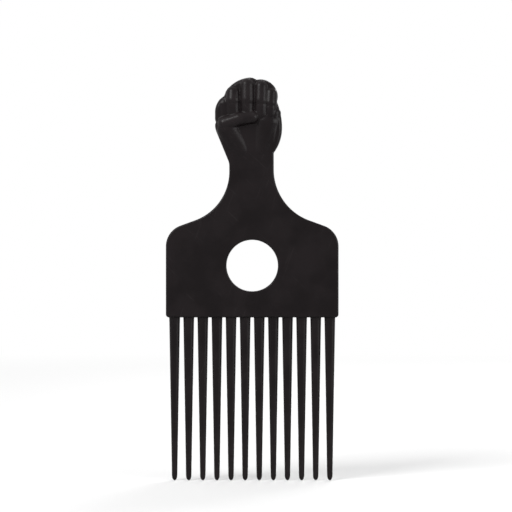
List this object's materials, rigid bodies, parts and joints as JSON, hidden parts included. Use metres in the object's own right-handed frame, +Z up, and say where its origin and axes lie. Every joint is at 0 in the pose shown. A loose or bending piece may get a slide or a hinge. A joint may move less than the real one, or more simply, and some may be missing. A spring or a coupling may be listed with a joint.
{
  "type": "afro pick",
  "caption": "Flat black plastic hair pick with a clenched-fist grip, a head with a round hanging window and a row of long tapered springy teeth.",
  "frame": {"origin": "centre of the round window, at half the thickness of the head", "axes": "+Z up towards the fist with the teeth pointing down, +Y along the window's axis out of the back face, -Y out of the finger side of the fist"},
  "size_m": [0.0728, 0.0094, 0.1701],
  "materials": {
    "black_plastic": "smooth moulded satin"
  },
  "bodies": {
    "handle": {"comb_head": "black_plastic", "fist_grip": "black_plastic"},
    "tooth_01": {"tooth_01": "black_plastic"},
    "tooth_02": {"tooth_02": "black_plastic"},
    "tooth_03": {"tooth_03": "black_plastic"},
    "tooth_04": {"tooth_04": "black_plastic"},
    "tooth_05": {"tooth_05": "black_plastic"},
    "tooth_06": {"tooth_06": "black_plastic"},
    "tooth_07": {"tooth_07": "black_plastic"},
    "tooth_08": {"tooth_08": "black_plastic"},
    "tooth_09": {"tooth_09": "black_plastic"},
    "tooth_10": {"tooth_10": "black_plastic"},
    "tooth_11": {"tooth_11": "black_plastic"},
    "tooth_12": {"tooth_12": "black_plastic"}
  },
  "joints": [
    {"name": "tooth_01_flex", "type": "hinge", "parent": "handle", "child": "tooth_01", "pos_m": [-0.03278, 0, -0.02186], "axis": [1, 0, 0], "range_deg": [-8, 8], "stiffness_Nm_per_rad": 0.3},
    {"name": "tooth_02_flex", "type": "hinge", "parent": "handle", "child": "tooth_02", "pos_m": [-0.02682, 0, -0.02186], "axis": [1, 0, 0], "range_deg": [-8, 8], "stiffness_Nm_per_rad": 0.3},
    {"name": "tooth_03_flex", "type": "hinge", "parent": "handle", "child": "tooth_03", "pos_m": [-0.02086, 0, -0.02186], "axis": [1, 0, 0], "range_deg": [-8, 8], "stiffness_Nm_per_rad": 0.3},
    {"name": "tooth_04_flex", "type": "hinge", "parent": "handle", "child": "tooth_04", "pos_m": [-0.0149, 0, -0.02186], "axis": [1, 0, 0], "range_deg": [-8, 8], "stiffness_Nm_per_rad": 0.3},
    {"name": "tooth_05_flex", "type": "hinge", "parent": "handle", "child": "tooth_05", "pos_m": [-0.00894, 0, -0.02186], "axis": [1, 0, 0], "range_deg": [-8, 8], "stiffness_Nm_per_rad": 0.3},
    {"name": "tooth_06_flex", "type": "hinge", "parent": "handle", "child": "tooth_06", "pos_m": [-0.00298, 0, -0.02186], "axis": [1, 0, 0], "range_deg": [-8, 8], "stiffness_Nm_per_rad": 0.3},
    {"name": "tooth_07_flex", "type": "hinge", "parent": "handle", "child": "tooth_07", "pos_m": [0.00298, 0, -0.02186], "axis": [1, 0, 0], "range_deg": [-8, 8], "stiffness_Nm_per_rad": 0.3},
    {"name": "tooth_08_flex", "type": "hinge", "parent": "handle", "child": "tooth_08", "pos_m": [0.00894, 0, -0.02186], "axis": [1, 0, 0], "range_deg": [-8, 8], "stiffness_Nm_per_rad": 0.3},
    {"name": "tooth_09_flex", "type": "hinge", "parent": "handle", "child": "tooth_09", "pos_m": [0.0149, 0, -0.02186], "axis": [1, 0, 0], "range_deg": [-8, 8], "stiffness_Nm_per_rad": 0.3},
    {"name": "tooth_10_flex", "type": "hinge", "parent": "handle", "child": "tooth_10", "pos_m": [0.02086, 0, -0.02186], "axis": [1, 0, 0], "range_deg": [-8, 8], "stiffness_Nm_per_rad": 0.3},
    {"name": "tooth_11_flex", "type": "hinge", "parent": "handle", "child": "tooth_11", "pos_m": [0.02682, 0, -0.02186], "axis": [1, 0, 0], "range_deg": [-8, 8], "stiffness_Nm_per_rad": 0.3},
    {"name": "tooth_12_flex", "type": "hinge", "parent": "handle", "child": "tooth_12", "pos_m": [0.03278, 0, -0.02186], "axis": [1, 0, 0], "range_deg": [-8, 8], "stiffness_Nm_per_rad": 0.3}
  ]
}
